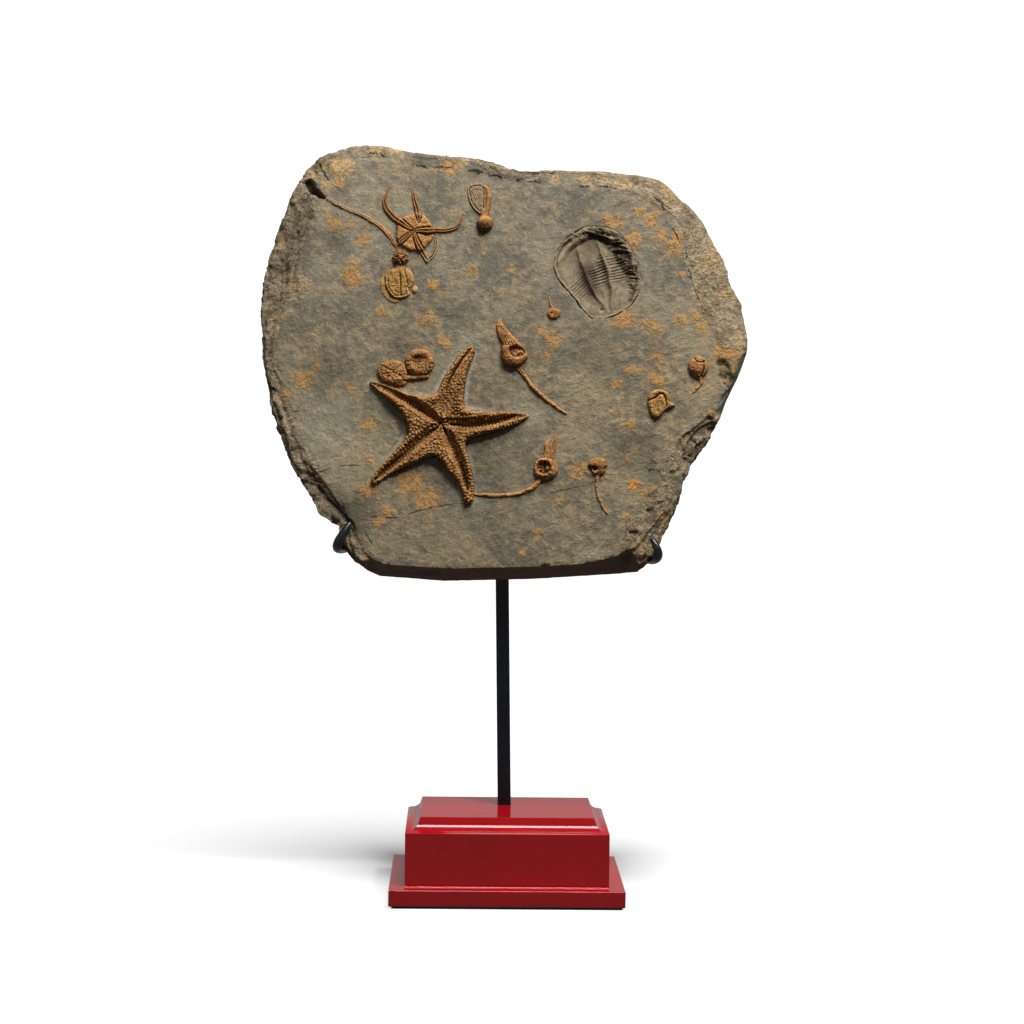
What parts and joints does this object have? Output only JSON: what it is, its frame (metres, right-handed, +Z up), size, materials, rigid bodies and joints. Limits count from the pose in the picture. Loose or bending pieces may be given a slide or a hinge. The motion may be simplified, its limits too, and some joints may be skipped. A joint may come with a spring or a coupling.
{
  "type": "fossil starfish plate",
  "caption": "Leaning slab of grey mudstone with a starfish, brittle star, trilobite and sea lilies in relief, hooked onto a square steel pole on a red moulded base.",
  "frame": {"origin": "on the floor, under the middle of the part's bounding box", "axes": "+Z up, -Y towards the viewer of the slab's face, +X to the viewer's right"},
  "size_m": [0.3323, 0.12, 0.509],
  "materials": {
    "mudstone": "matt split grey-green mudstone with rust stains",
    "trilobite_stone": "smooth matt grey-brown stone",
    "fossil": "matt rust-brown mineral",
    "black_paint": "satin black paint on steel",
    "red_lacquer": "glossy red lacquer on wood",
    "black_felt": "black felt"
  },
  "bodies": {
    "root": {"stone_slab": "mudstone", "starfish": "fossil", "brittle_star": "fossil", "trilobite": "trilobite_stone", "sea_lily_long_stem": "fossil", "sea_lily_calyx": "fossil", "sea_lily_top": "fossil", "sea_lily_center": "fossil", "sea_lily_bud": "fossil", "sea_lily_curved_stem": "fossil", "sea_lily_small_stem": "fossil", "sea_lily_heart": "fossil", "sea_lily_right": "fossil", "round_disc_left": "fossil", "round_disc_right": "fossil", "pole": "black_paint", "hook_arm_left": "black_paint", "hook_arm_right": "black_paint", "base_block": "red_lacquer", "base_plinth": "red_lacquer", "felt_pad": "black_felt"}
  },
  "joints": []
}
